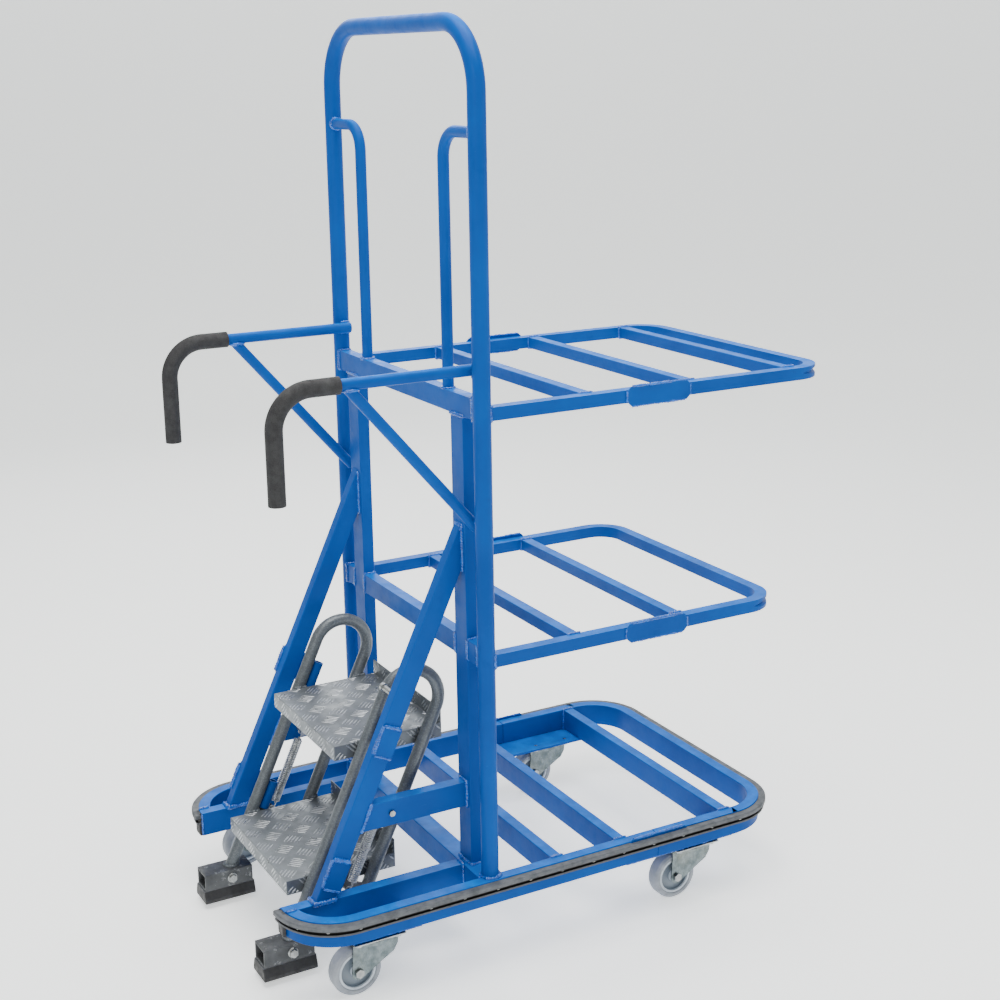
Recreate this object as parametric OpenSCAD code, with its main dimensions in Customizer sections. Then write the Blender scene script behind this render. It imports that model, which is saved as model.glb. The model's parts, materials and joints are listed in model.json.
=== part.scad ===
// Order-picking trolley with a spring-loaded two-tread step unit, welded from steel tube.
// X runs across, +Y points to the load end, the step unit stands at -Y, and the floor is z = 0.
// Lengths along Y are counted from the mast and moved once, so the object's box is centred on Y.

/* [Base frame] */
// Width over the outer faces of the side rails
base_w = 680; // [600:10:760]
// Front end of the base, counted from the mast
base_front = 400; // [380:10:420]
// Rear face of the base, counted from the mast
base_rear = 690; // [640:10:740]
// Outer radius of the base corners
base_bend_r = 110; // [90:5:130]
// Height of the base's top face
deck_z = 175; // [175:1:185]
// Width of the base tube
rail_w = 25; // [20:5:30]
// Height of the base tube
rail_h = 50; // [40:5:50]
// Wall of all rectangular tube
wall = 2; // [1.5:0.5:3]
// Distance from the centre to the inner rails
inner_rail_x = 225; // [222:1:230]
// Width of the cross-member under the mast
cross_w = 40; // [30:5:50]
// Where the side rails meet the rear rail
joint_y = 378; // [340:2:400]
// Length of the plates over the joints
joint_plate_l = 145; // [120:5:160]
// Height of the plates over the hoop joints
joint_plate_h = 38; // [34:1:40]

/* [Bumper] */
// Thickness of the rubber strip
bumper_t = 15; // [12:1:18]
// Rubber left behind the groove
bumper_web = 6; // [4:1:8]
// Lower edge of the strip
bumper_z = 153; // [148:1:154]
// Number of screw spaces along one side
side_spaces = 12; // [8:1:14]
// Number of screw spaces across the rear
rear_spaces = 6; // [4:1:8]

/* [Mast] */
// Distance from the centre to a mast leg
mast_x = 315; // [315:1:320]
// Outer radius of the mast tube
mast_r = 17; // [15:0.5:20]
// Height of the mast's top
mast_top = 1800; // [1700:10:1900]
// Bend radius of the mast's top corners
mast_bend_r = 120; // [100:5:140]
// Width of an upright
upright_w = 50; // [40:5:60]
// Distance from the centre to an upright's inner face
upright_x = 212.5; // [205:0.5:220]
// Underside of the upper crossbar
upper_bar_z = 1080; // [1040:10:1120]
// Underside of the middle crossbar
middle_bar_z = 605; // [595:5:640]
// Height of both crossbars
crossbar_h = 40; // [30:5:50]
// Outer radius of guard, handle and brace tube
small_r = 11; // [10:0.5:12.5]
// Distance from the centre to a guard tube
guard_x = 183; // [170:1:200]
// Height of the guard tube's level run
guard_top = 1593; // [1500:1:1620]

/* [Load hoops] */
// Side of the square hoop tube
hoop_s = 25; // [20:5:30]
// Rear end of the upper hoop, counted from the mast
upper_hoop_y = 800; // [740:10:840]
// Rear end of the middle hoop, counted from the mast
middle_hoop_y = 690; // [640:10:740]
// Outer radius of the hoop corners
hoop_bend_r = 75; // [60:5:90]

/* [Handles] */
// Distance from the centre to a handle
handle_x = 287; // [285:1:287]
// Height of the handle's level run
handle_z = 1170; // [1140:5:1200]
// Reach of the handle in front of the mast
handle_reach = 390; // [360:5:400]
// Bend radius of the handle
handle_bend_r = 70; // [60:5:80]
// Lower end of the handle
handle_low = 975; // [950:5:1000]
// Outer radius of the foam grip
grip_r = 16; // [14:0.5:18]

/* [Step unit] */
// Angle of the step unit's guides to the floor
incline = 65; // [65:1:66]
// Radius of the hairpin tube
hairpin_r = 12.5; // [12:0.1:12.5]
// Distance from the centre to a hairpin
hairpin_x = 170; // [168:1:170]
// Distance between the two legs of a hairpin
hairpin_w = 120; // [110:5:125]
// Width of a tread
tread_w = 315; // [305:1:315]
// Depth of a tread
tread_d = 231; // [220:1:231]
// Height of the upper tread's face
upper_tread_z = 440; // [430:2:450]
// Height of the lower tread's face
lower_tread_z = 186; // [180:2:196]
// Thickness of the tread plate
tread_t = 3; // [2:0.5:4]
// Height of the folded tread edges
tread_fold = 30; // [20:5:40]
// Gap under the rubber feet at rest
foot_gap = 12; // [10:0.5:13]

/* [Castors] */
// Distance from the centre to a castor's swivel axis
castor_x = 296; // [294:1:296]
// Swivel axis of the front castors, in front of the mast
castor_front = 246; // [240:2:250]
// Swivel axis of the rear castors, behind the mast
castor_rear = 480; // [440:5:500]
// Wheel radius
wheel_r = 50; // [48:1:50]
// Wheel width
wheel_w = 32; // [28:1:32]
// Trail of the wheel behind its swivel axis
trail = 38; // [34:1:38]
// Radius of the wheel axle
axle_r = 6; // [5:0.5:8]
// Radial play of axle and kingpin
play = 0.05; // [0.02:0.01:0.1]

/* [Output] */

/* [Hidden] */
$fn = 64;
mast_y = -185;
side_out = base_w / 2;
side_in = side_out - rail_w;
rail_z = [deck_z - rail_h, deck_z];
corner_x = side_out - base_bend_r;
front_corner_y = base_bend_r - base_front;
rear_corner_y = base_rear - base_bend_r;
inner_rail = [inner_rail_x, inner_rail_x + rail_w];
cross_y = [15 - cross_w, 15];
deck_bar_y = [150, 300, 560];
joint_plate_t = 3;
bumper_h = 20;
lip_low = 4;
lip_low_t = bumper_t - 3;
lip_top = 9;
screw_r = 2;
screw_z = bumper_z + (lip_low + bumper_h - lip_top) / 2;
upright_d = 25;
tube_t = 2;
mast_bend_x = mast_x - mast_bend_r;
mast_bend_z = mast_top - mast_r - mast_bend_r;
guard_bend_r = 50;
hoop_in = mast_x - hoop_s / 2;
upper_hoop_z = [upper_bar_z, upper_bar_z + hoop_s];
middle_hoop_z = [middle_bar_z, middle_bar_z + hoop_s];
upper_hoop_bar_y = [230, 465, 709.5];
middle_hoop_bar_y = [200, 440];
handle_bend_y = handle_bend_r - handle_reach;
handle_bend_z = handle_z - handle_bend_r;
handle_back = 8;
grip_start = -266;
grip_cap = 5;
brace_top = [-247, handle_z - 10];
brace_end = [0, 871];
brace_r = small_r - 0.5;
foot_y = 395;
tilt = 90 - incline;
stringer_w = [-24, 14];
bracket_t = 3;
bracket_u = [215, 485];
bracket_l = 60;
guide_x = hairpin_x + 2;
guide_w = hairpin_r + 0.3 + small_r;
pin_at = [-18, 603];
pin_end = 185;
spring_top = [62, 385];
spring_low = [62, 205];
spring_x = 204;
wire_r = 1.5;
coil_r = 8;
rib_r = 2;
rib_pitch = 4.8;
coil_ribs = 30;
stringer_brace_z = [298, 348];
hairpin_turn = 590;
hairpin_end = 196;
upper_tread_y = [-251, -251 + tread_d];
lower_tread_y = [-361, -361 + tread_d];
foot_box_x = [145, 195];
foot_box_y = [-427, -323];
foot_box_z = [foot_gap + 26, foot_gap + 62];
foot_bolt = [-368, foot_gap + 44];
plate_z = [rail_z[0] - 5, rail_z[0]];
castor_plate_z = [plate_z[0] - 3, plate_z[0]];
crown_z = [castor_plate_z[0] - 13, castor_plate_z[0] - 6.5];
race_low = crown_z[1] + 0.3;
castor_bolt_x = 30;
castor_bolt_y = 40;
fork_in = 18;
fork_t = 3;
castor_at = [
  [castor_x, -castor_front],
  [-castor_x, -castor_front],
  [castor_x, castor_rear],
  [-castor_x, castor_rear]
];

blue = [0.02, 0.22, 0.62];
grey = [0.42, 0.43, 0.42];
dark = [0.18, 0.19, 0.19];
black = [0.03, 0.03, 0.03];
zinc = [0.62, 0.63, 0.62];
pale = [0.62, 0.63, 0.60];

// Point where the line from p touches a circle; side is 1 or -1
function touch(c, r, p, side) =
  let (d = p - c, a = atan2(d[1], d[0]) + side * acos(r / norm(d)))
  c + r * [cos(a), sin(a)];

// Moves from the mast's own Y to the object's Y
module placed() {
  translate([0, mast_y, 0]) children();
}

// A child and its mirror image across the centre plane
module both_sides() {
  children();
  mirror([1, 0, 0]) children();
}

// Frame of the step unit's guides: local z runs up the incline, local y away from it
module on_incline() {
  translate([0, -foot_y, 0]) rotate([-tilt, 0, 0]) children();
}

// Turns a shape drawn flat into the plane across the trolley
module across() {
  rotate([90, 0, 0]) children();
}

// Turns a shape drawn flat into the plane along the trolley
module along() {
  rotate([90, 0, 90]) children();
}

// Solid box from three ranges
module block(x, y, z) {
  translate([x[0], y[0], z[0]]) cube([x[1] - x[0], y[1] - y[0], z[1] - z[0]]);
}

// Rectangular tubes, open at both ends
module tube_x(x, y, z) {
  difference() {
    block(x, y, z);
    block([x[0] - 1, x[1] + 1], [y[0] + wall, y[1] - wall], [z[0] + wall, z[1] - wall]);
  }
}

module tube_y(x, y, z) {
  difference() {
    block(x, y, z);
    block([x[0] + wall, x[1] - wall], [y[0] - 1, y[1] + 1], [z[0] + wall, z[1] - wall]);
  }
}

module tube_z(x, y, z) {
  difference() {
    block(x, y, z);
    block([x[0] + wall, x[1] - wall], [y[0] + wall, y[1] - wall], [z[0] - 1, z[1] + 1]);
  }
}

// Quarter turn of rectangular tube, from +X to +Y
module rail_bend() {
  rotate_extrude(angle = 90)
    translate([base_bend_r - rail_w, 0])
      difference() {
        square([rail_w, rail_h]);
        translate([wall, wall]) square([rail_w - 2 * wall, rail_h - 2 * wall]);
      }
}

// Round tube standing on its end
module pipe(r, len, t = tube_t) {
  difference() {
    cylinder(r = r, h = len);
    translate([0, 0, -1]) cylinder(r = r - t, h = len + 2);
  }
}

// Bend of round tube, drawn flat from +X
module pipe_bend(bend_r, r, angle, t = tube_t) {
  rotate_extrude(angle = angle)
    translate([bend_r, 0])
      difference() {
        circle(r);
        circle(r - t);
      }
}

// The two mast legs as solid rods, for fitting tube ends around them
module leg_rods() {
  both_sides()
    translate([mast_x, 0, deck_z]) cylinder(r = mast_r, h = mast_bend_z - deck_z);
}

module hex_head(r, h) {
  cylinder(r = r, h = h, $fn = 6);
}

// ---- Base frame ----

module side_rail() {
  tube_y([side_in, side_out], [front_corner_y, joint_y], rail_z);
  difference() {
    translate([corner_x, front_corner_y, rail_z[0]]) rotate([0, 0, -90]) rail_bend();
    block([corner_x - 1, inner_rail[1]], [-base_front - 1, front_corner_y], [0, mast_top]);
  }
}

module base_side_rail_near() {
  color(blue) placed() side_rail();
}

module base_side_rail_far() {
  color(blue) placed() mirror([1, 0, 0]) side_rail();
}

module base_rear_rail() {
  color(blue) placed() {
    both_sides() {
      tube_y([side_in, side_out], [joint_y, rear_corner_y], rail_z);
      translate([corner_x, rear_corner_y, rail_z[0]]) rail_bend();
    }
    tube_x([-corner_x, corner_x], [base_rear - rail_w, base_rear], rail_z);
  }
}

module base_inner_rails() {
  cap = 5;
  color(blue) placed() both_sides() difference() {
    union() {
      tube_y(inner_rail, [-base_front, cross_y[0]], rail_z);
      block(
        [inner_rail[0] + 1, inner_rail[1] - 1], [-base_front, cap - base_front],
        [rail_z[0] + 1, rail_z[1] - 1]
      );
    }
    difference() {
      block([corner_x, side_out], [-base_front - 1, front_corner_y], [0, mast_top]);
      translate([corner_x, front_corner_y, -1]) cylinder(r = base_bend_r, h = mast_top + 2);
    }
  }
}

module base_cross_member() {
  color(blue) placed() tube_x([-side_in, side_in], cross_y, rail_z);
}

module deck_bars() {
  color(blue) placed()
    for (y = deck_bar_y)
      tube_x([-side_in, side_in], [y - rail_w / 2, y + rail_w / 2], rail_z);
}

// Holes for the four screws of each castor
module castor_screw_holes() {
  for (p = castor_at)
    for (sx = [-1, 1])
      for (sy = [-1, 1])
        translate([p[0] + sx * castor_bolt_x, p[1] + sy * castor_bolt_y, castor_plate_z[0] - 1])
          cylinder(r = 4, h = 10);
}

module castor_mount_plates() {
  front_in = inner_rail_x + 3;
  rear_in = inner_rail_x + 20;
  out = side_out - 6;
  front_y = [-castor_front - 54, 88 - castor_front];
  rear_y = [castor_rear - 174, castor_rear + 90];
  color(blue) placed() difference() {
    both_sides() {
      block([front_in, out], front_y, plate_z);
      block([rear_in, out], rear_y, plate_z);
    }
    castor_screw_holes();
  }
}

// ---- Bumper ----

// Section of the strip, counted outwards from the rail's face
module bumper_section() {
  z = bumper_z;
  top = z + bumper_h;
  edge = 2;
  polygon([
    [0, z], [lip_low_t, z], [lip_low_t, z + lip_low], [bumper_web, z + lip_low],
    [bumper_web, top - lip_top], [bumper_t, top - lip_top],
    [bumper_t, top - edge], [bumper_t - edge, top], [0, top]
  ]);
}

// Straight strip on the face at x, from y0 to y1
module bumper_run(x, y0, y1) {
  translate([x, y1, 0]) across() linear_extrude(y1 - y0) bumper_section();
}

module bumper_bend() {
  rotate_extrude(angle = 90) translate([base_bend_r, 0]) bumper_section();
}

module at_side_screws() {
  step = (rear_corner_y - front_corner_y) / side_spaces;
  both_sides()
    for (i = [0 : side_spaces])
      translate([side_out, front_corner_y + i * step, screw_z]) children();
}

module at_bumper_screws() {
  step = 2 * corner_x / rear_spaces;
  at_side_screws() children();
  both_sides()
    for (a = [30, 60]) {
      translate([corner_x, rear_corner_y, screw_z]) rotate([0, 0, a])
        translate([base_bend_r, 0, 0]) children();
      translate([corner_x, front_corner_y, screw_z]) rotate([0, 0, -a])
        translate([base_bend_r, 0, 0]) children();
    }
  for (i = [0 : rear_spaces])
    translate([i * step - corner_x, base_rear, screw_z]) rotate([0, 0, 90]) children();
}

module screw_shank(len) {
  rotate([0, 90, 0]) cylinder(r = screw_r, h = len);
}

module bumper_strip() {
  color(black) placed() difference() {
    union() {
      both_sides() {
        rotate([0, 0, -90]) bumper_run(base_front, inner_rail_x, corner_x);
        translate([corner_x, front_corner_y, 0]) rotate([0, 0, -90]) bumper_bend();
        bumper_run(side_out, front_corner_y, rear_corner_y);
        translate([corner_x, rear_corner_y, 0]) bumper_bend();
      }
      rotate([0, 0, 90]) bumper_run(base_rear, -corner_x, corner_x);
    }
    both_sides() base_joint_plate();
    at_bumper_screws() screw_shank(bumper_web + 1);
  }
}

module bumper_screws() {
  head_r = 3.2;
  head_h = 2.5;
  color(zinc) placed() at_bumper_screws() {
    screw_shank(bumper_web);
    translate([bumper_web, 0, 0]) rotate([0, 90, 0]) cylinder(r = head_r, h = head_h);
  }
}

// ---- Joint plates ----

// Plate of height h with cut corners on the face at x, centred at height z
module joint_plate(x, z, h) {
  cut = 9;
  y0 = joint_y - joint_plate_l / 2;
  y1 = joint_y + joint_plate_l / 2;
  z0 = z - h / 2;
  z1 = z + h / 2;
  translate([x, 0, 0]) along() linear_extrude(joint_plate_t)
    polygon([
      [y0 + cut, z0], [y1 - cut, z0], [y1, z0 + cut], [y1, z1 - cut],
      [y1 - cut, z1], [y0 + cut, z1], [y0, z1 - cut], [y0, z0 + cut]
    ]);
}

// The plate on the base reaches from the strip's lower edge to just above the rail
module base_joint_plate() {
  top = deck_z + 4;
  joint_plate(side_out, (top + bumper_z) / 2, top - bumper_z);
}

module joint_plates() {
  color(blue) placed() {
    both_sides() {
      joint_plate(mast_x + hoop_s / 2, upper_hoop_z[0] + hoop_s / 2, joint_plate_h);
      joint_plate(mast_x + hoop_s / 2, middle_hoop_z[0] + hoop_s / 2, joint_plate_h);
    }
    difference() {
      both_sides() base_joint_plate();
      at_side_screws() screw_shank(bumper_web);
    }
  }
}

// ---- Mast ----

module mast_hoop() {
  color(blue) placed() {
    both_sides() {
      translate([mast_x, 0, deck_z]) pipe(mast_r, mast_bend_z - deck_z);
      translate([mast_bend_x, 0, mast_bend_z]) across() pipe_bend(mast_bend_r, mast_r, 90);
    }
    translate([-mast_bend_x, 0, mast_top - mast_r]) rotate([0, 90, 0])
      pipe(mast_r, 2 * mast_bend_x);
  }
}

module back_uprights() {
  color(blue) placed() both_sides()
    tube_z(
      [upright_x, upright_x + upright_w], [-upright_d / 2, upright_d / 2],
      [deck_z, upper_bar_z]
    );
}

module upper_crossbar() {
  color(blue) placed() difference() {
    tube_x(
      [-mast_x, mast_x], [-upright_d / 2, upright_d / 2], [upper_bar_z, upper_bar_z + crossbar_h]
    );
    leg_rods();
  }
}

module middle_crossbar() {
  y = [-upright_d / 2, upright_d / 2];
  z = [middle_bar_z, middle_bar_z + crossbar_h];
  color(blue) placed() {
    tube_x([-upright_x, upright_x], y, z);
    difference() {
      both_sides() tube_x([upright_x + upright_w, mast_x], y, z);
      leg_rods();
    }
  }
}

module guard_tubes() {
  base = upper_bar_z + crossbar_h;
  bend_z = guard_top - guard_bend_r;
  bend_x = guard_x + guard_bend_r;
  color(blue) placed() difference() {
    both_sides() {
      translate([guard_x, 0, base]) pipe(small_r, bend_z - base);
      translate([bend_x, 0, bend_z]) across() rotate([0, 0, 90])
        pipe_bend(guard_bend_r, small_r, 90);
      translate([bend_x, 0, guard_top]) rotate([0, 90, 0]) pipe(small_r, mast_x - bend_x);
    }
    leg_rods();
  }
}

// ---- Load hoops ----

// Corner of a hoop: square tube with a crease pressed into its outer face
module hoop_bend() {
  crease = 6;
  bend_wall = 9;
  back_off = 20;
  crease_r = hoop_bend_r - crease + back_off * sqrt(2);
  difference() {
    rotate_extrude(angle = 90)
      translate([hoop_bend_r - hoop_s, 0])
        difference() {
          square([hoop_s, hoop_s]);
          translate([wall, wall]) square([hoop_s - wall - bend_wall, hoop_s - 2 * wall]);
        }
    translate([-back_off, -back_off, hoop_s / 2])
      rotate_extrude()
        translate([crease_r, 0]) polygon([[0, 0], [10, 12], [10, -12]]);
  }
}

module hoop(rear, z) {
  bend_x = mast_x + hoop_s / 2 - hoop_bend_r;
  bend_y = rear - hoop_bend_r;
  difference() {
    both_sides() {
      tube_y([hoop_in, hoop_in + hoop_s], [0, bend_y], z);
      translate([bend_x, bend_y, z[0]]) hoop_bend();
    }
    leg_rods();
    block([-side_out, side_out], [-1, upright_d / 2], z);
  }
  tube_x([-bend_x, bend_x], [rear - hoop_s, rear], z);
}

module upper_load_hoop() {
  color(blue) placed() hoop(upper_hoop_y, upper_hoop_z);
}

module middle_load_hoop() {
  color(blue) placed() hoop(middle_hoop_y, middle_hoop_z);
}

module upper_hoop_bars() {
  color(blue) placed()
    for (y = upper_hoop_bar_y)
      tube_x([-hoop_in, hoop_in], [y - hoop_s / 2, y + hoop_s / 2], upper_hoop_z);
}

module middle_hoop_bars() {
  color(blue) placed()
    for (y = middle_hoop_bar_y)
      tube_x([-hoop_in, hoop_in], [y - hoop_s / 2, y + hoop_s / 2], middle_hoop_z);
}

// ---- Handles ----

module handle() {
  translate([handle_x, handle_bend_y, handle_z]) rotate([-90, 0, 0])
    pipe(small_r, handle_back - handle_bend_y);
  translate([handle_x, handle_bend_y, handle_bend_z]) along() rotate([0, 0, 90])
    pipe_bend(handle_bend_r, small_r, 90);
  translate([handle_x, -handle_reach, handle_low]) pipe(small_r, handle_bend_z - handle_low);
}

module handle_near() {
  color(blue) placed() handle();
}

module handle_far() {
  color(blue) placed() mirror([1, 0, 0]) handle();
}

module handle_braces() {
  run = brace_end - brace_top;
  lead = 14;
  color(blue) placed() both_sides() difference() {
    translate([handle_x, brace_top[0], brace_top[1]]) rotate([180 + atan2(run[0], -run[1]), 0, 0])
      translate([0, 0, -lead]) pipe(brace_r, norm(run) + lead);
    translate([handle_x, handle_bend_y, handle_z]) rotate([-90, 0, 0])
      cylinder(r = small_r, h = handle_back - handle_bend_y);
    block([handle_x - 20, handle_x + 20], [-300, -200], [handle_z, handle_z + 40]);
  }
}

module grip() {
  t = grip_r - small_r;
  translate([handle_x, handle_bend_y, handle_z]) rotate([-90, 0, 0])
    pipe(grip_r, grip_start - handle_bend_y, t);
  translate([handle_x, handle_bend_y, handle_bend_z]) along() rotate([0, 0, 90])
    pipe_bend(handle_bend_r, grip_r, 90, t);
  translate([handle_x, -handle_reach, handle_low]) pipe(grip_r, handle_bend_z - handle_low, t);
  translate([handle_x, -handle_reach, handle_low - grip_cap]) cylinder(r = grip_r, h = grip_cap);
}

module grip_near() {
  color(black) placed() grip();
}

module grip_far() {
  color(black) placed() mirror([1, 0, 0]) grip();
}

// ---- Guides of the step unit ----

module stringers() {
  color(blue) placed() both_sides() difference() {
    on_incline() tube_z(inner_rail, stringer_w, [120, 1150]);
    block([0, side_out], [-500, 0], [0, deck_z]);
    block([0, side_out], [-upright_d / 2, 300], [0, 1200]);
  }
}

module stringer_braces() {
  color(blue) placed() both_sides() difference() {
    tube_y(inner_rail, [-260, -upright_d / 2], stringer_brace_z);
    on_incline() block([0, side_out], [-100, stringer_w[1]], [200, 500]);
    on_incline() translate([0, spring_top[0], spring_top[1]]) rotate([0, 90, 0])
      cylinder(r = 4, h = inner_rail[1] + 1);
  }
}

module guide_brackets() {
  outer = inner_rail[1];
  color(blue) placed() both_sides() on_incline() difference() {
    for (u = bracket_u) {
      block([outer, outer + bracket_t], [stringer_w[0], stringer_w[1]], [u, u + bracket_l]);
      block(
        [guide_x + 4, outer + bracket_t], [stringer_w[1], stringer_w[1] + bracket_t],
        [u, u + bracket_l]
      );
    }
    translate([guide_x, guide_w, 0]) cylinder(r = small_r, h = 700);
  }
}

module guide_tubes() {
  color(blue) placed() both_sides() on_incline()
    for (u = bracket_u)
      translate([guide_x, guide_w, u]) pipe(small_r, bracket_l, 3);
}

module guide_pin() {
  color(zinc) placed() on_incline() translate([0, pin_at[0], pin_at[1]]) rotate([0, 90, 0]) {
    translate([0, 0, pin_end]) cylinder(r = 6, h = inner_rail[0] - pin_end);
    translate([0, 0, pin_end]) cylinder(r = 8, h = 9);
  }
}

module spring_bolts() {
  color(zinc) placed() both_sides() on_incline()
    translate([0, spring_top[0], spring_top[1]]) rotate([0, 90, 0]) {
      translate([0, 0, 194]) cylinder(r = 4, h = inner_rail[1] - 194);
      translate([0, 0, 191]) cylinder(r = 7, h = 3);
      translate([0, 0, inner_rail[1]]) hex_head(6.5, 5);
    }
}

// Eye at a spring's end, round a pin that lies along X
module spring_eye() {
  rotate([0, 90, 0]) rotate_extrude() translate([4.8 + wire_r, 0]) circle(wire_r);
}

module return_springs() {
  low = spring_low[1] + 15;
  high = low + coil_ribs * rib_pitch;
  color(zinc) placed() both_sides() on_incline() translate([spring_x, spring_low[0], 0]) {
    rotate_extrude()
      union() {
        translate([coil_r - 1, low]) square([2, high - low]);
        for (i = [0 : coil_ribs])
          translate([coil_r, low + i * rib_pitch]) circle(rib_r);
      }
    for (z = [low, high])
      translate([0, 0, z - 1]) cylinder(r = coil_r, h = 2);
    translate([0, 0, spring_low[1]]) spring_eye();
    translate([0, 0, spring_top[1]]) spring_eye();
    translate([0, 0, spring_low[1] + 6]) cylinder(r = wire_r, h = low - spring_low[1] - 6);
    translate([0, 0, high]) cylinder(r = wire_r, h = spring_top[1] - 6 - high);
  }
}

// ---- Step unit ----

// Straight legs of the two hairpins
module hairpin_legs() {
  color(grey) placed() both_sides() difference() {
    on_incline() translate([hairpin_x, 0, 0]) {
      pipe(hairpin_r, hairpin_turn);
      translate([0, hairpin_w, hairpin_end]) pipe(hairpin_r, hairpin_turn - hairpin_end);
    }
    block([0, side_out], [-500, -300], [-50, foot_box_z[1]]);
  }
}

// Half turns that join the legs at the top
module hairpin_bends() {
  color(grey) placed() both_sides() on_incline()
    translate([hairpin_x, hairpin_w / 2, hairpin_turn]) along()
      pipe_bend(hairpin_w / 2, hairpin_r, 180);
}

// Folded plate: front and side edges down, rear edge up
module tread(y, top) {
  x = tread_w / 2;
  t = tread_t;
  block([-x, x], y, [top - t, top]);
  block([-x, x], [y[0], y[0] + t], [top - tread_fold, top]);
  both_sides() block([x - t, x], y, [top - tread_fold, top]);
  block([-x, x], [y[1] - t, y[1]], [top - t, top + tread_fold]);
}

module upper_tread() {
  color(grey) placed() tread(upper_tread_y, upper_tread_z);
}

module lower_tread() {
  color(grey) placed() tread(lower_tread_y, lower_tread_z);
}

module foot_boxes() {
  t = 4;
  x = foot_box_x;
  y = foot_box_y;
  z = foot_box_z;
  color(dark) placed() both_sides() difference() {
    block(x, y, z);
    block([x[0] + t, x[1] - t], [y[0] - 1, y[1] - t], [z[0] + t, z[1] - t]);
    translate([x[0] - 1, foot_bolt[0], foot_bolt[1]]) rotate([0, 90, 0])
      cylinder(r = 5, h = x[1] - x[0] + 2);
  }
}

// Rubber shoe, wider at the floor than at the box
module foot_pads() {
  top_w = 25;
  low_w = 31;
  land = 8;
  h = foot_box_z[0] - foot_gap;
  color(black) placed() both_sides()
    translate([hairpin_x, foot_box_y[1] + 3, foot_gap]) across()
      linear_extrude(foot_box_y[1] - foot_box_y[0] + 6)
        polygon([
          [-low_w, 0], [low_w, 0], [low_w, land], [top_w, h], [-top_w, h], [-low_w, land]
        ]);
}

module foot_bolts() {
  len = foot_box_x[1] - foot_box_x[0];
  color(zinc) placed()
    for (x = [foot_box_x[0], -foot_box_x[1]])
      translate([x, foot_bolt[0], foot_bolt[1]]) rotate([0, 90, 0]) {
        translate([0, 0, -7]) hex_head(9, 7);
        cylinder(r = 5, h = len);
        translate([0, 0, len]) cylinder(r = 10.5, h = 1.5);
        translate([0, 0, len + 1.5]) hex_head(9, 6.5);
      }
}

module spring_lugs() {
  color(dark) placed() both_sides() on_incline() {
    difference() {
      block([hairpin_x - 3, hairpin_x + 3], [0, hairpin_w], [hairpin_end, hairpin_end + 17]);
      translate([hairpin_x, 0, 0]) cylinder(r = hairpin_r, h = 400);
      translate([hairpin_x, hairpin_w, 0]) cylinder(r = hairpin_r, h = 400);
    }
    translate([hairpin_x + 3, spring_low[0], spring_low[1]]) rotate([0, 90, 0]) {
      cylinder(r = 4, h = 43);
      translate([0, 0, 43]) cylinder(r = 7, h = 3);
    }
  }
}

// ---- Castors ----

module castor_top_plates() {
  half_x = 42.5;
  half_y = 52.5;
  color(zinc) placed() difference() {
    for (p = castor_at)
      translate([p[0], p[1], 0]) {
        block([-half_x, half_x], [-half_y, half_y], castor_plate_z);
        translate([0, 0, race_low]) cylinder(r1 = 30, r2 = 34, h = castor_plate_z[0] - race_low);
      }
    castor_screw_holes();
    for (p = castor_at)
      translate([p[0], p[1], 0]) cylinder(r = axle_r - 1, h = deck_z);
  }
}

module castor_kingpins() {
  nut_h = 6.6;
  color(zinc) placed()
    for (p = castor_at)
      translate([p[0], p[1], crown_z[0] - 7]) {
        cylinder(r = axle_r - 1, h = castor_plate_z[1] - crown_z[0] + 7);
        hex_head(9, nut_h);
      }
}

module castor_screws() {
  color(zinc) placed()
    for (p = castor_at)
      for (sx = [-1, 1])
        for (sy = [-1, 1])
          translate([p[0] + sx * castor_bolt_x, p[1] + sy * castor_bolt_y, 0]) {
            translate([0, 0, castor_plate_z[0]]) cylinder(r = 4, h = 8);
            translate([0, 0, castor_plate_z[0] - 6]) hex_head(7, 6);
            translate([0, 0, castor_plate_z[0] - 1]) cylinder(r = 8, h = 1);
          }
}

// Fork of pressed plate, with the wheel trailing towards -Y
module fork() {
  end_r = 14;
  inner_r = end_r - 0.5;
  c = [-trail, wheel_r];
  top = crown_z[0] + 4;
  front = [46, top];
  front_mid = [44, top - 17];
  front_low = [35, top - 32];
  back = [-48, top];
  difference() {
    union() {
      both_sides() translate([fork_in, 0, 0]) along() linear_extrude(fork_t) {
        polygon([
          front, front_mid, front_low, touch(c, inner_r, front_low, -1), c,
          touch(c, inner_r, back, 1), back
        ]);
        translate(c) circle(end_r);
      }
      block([-fork_in, fork_in], [back[0], front[0]], [crown_z[0], top]);
      translate([0, 0, crown_z[0]]) cylinder(r = 34, h = crown_z[1] - crown_z[0]);
    }
    translate([0, 0, crown_z[0] - 1]) cylinder(r = axle_r - 1 + play, h = 20);
    translate([-50, -trail, wheel_r]) rotate([0, 90, 0]) cylinder(r = axle_r, h = 100);
  }
}

module axle() {
  half = fork_in + fork_t;
  translate([0, -trail, wheel_r]) rotate([0, 90, 0]) {
    translate([0, 0, -half]) cylinder(r = axle_r, h = 2 * half);
    translate([0, 0, half]) hex_head(9.5, 6);
    translate([0, 0, -half - 6]) hex_head(9.5, 6);
  }
}

// Moulded wheel centre with a sunk web and a long boss
module hub() {
  rim_in = wheel_r - 17;
  rim_out = wheel_r - 12;
  half = 14;
  boss = fork_in - 0.5;
  bore = axle_r + play;
  translate([0, -trail, wheel_r]) rotate([0, 90, 0]) rotate_extrude()
    polygon([
      [bore, -boss], [13, -boss], [14, -6], [rim_in, -6], [rim_in, -half], [rim_out, -half],
      [rim_out, half], [rim_in, half], [rim_in, 6], [14, 6], [13, boss], [bore, boss]
    ]);
}

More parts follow.
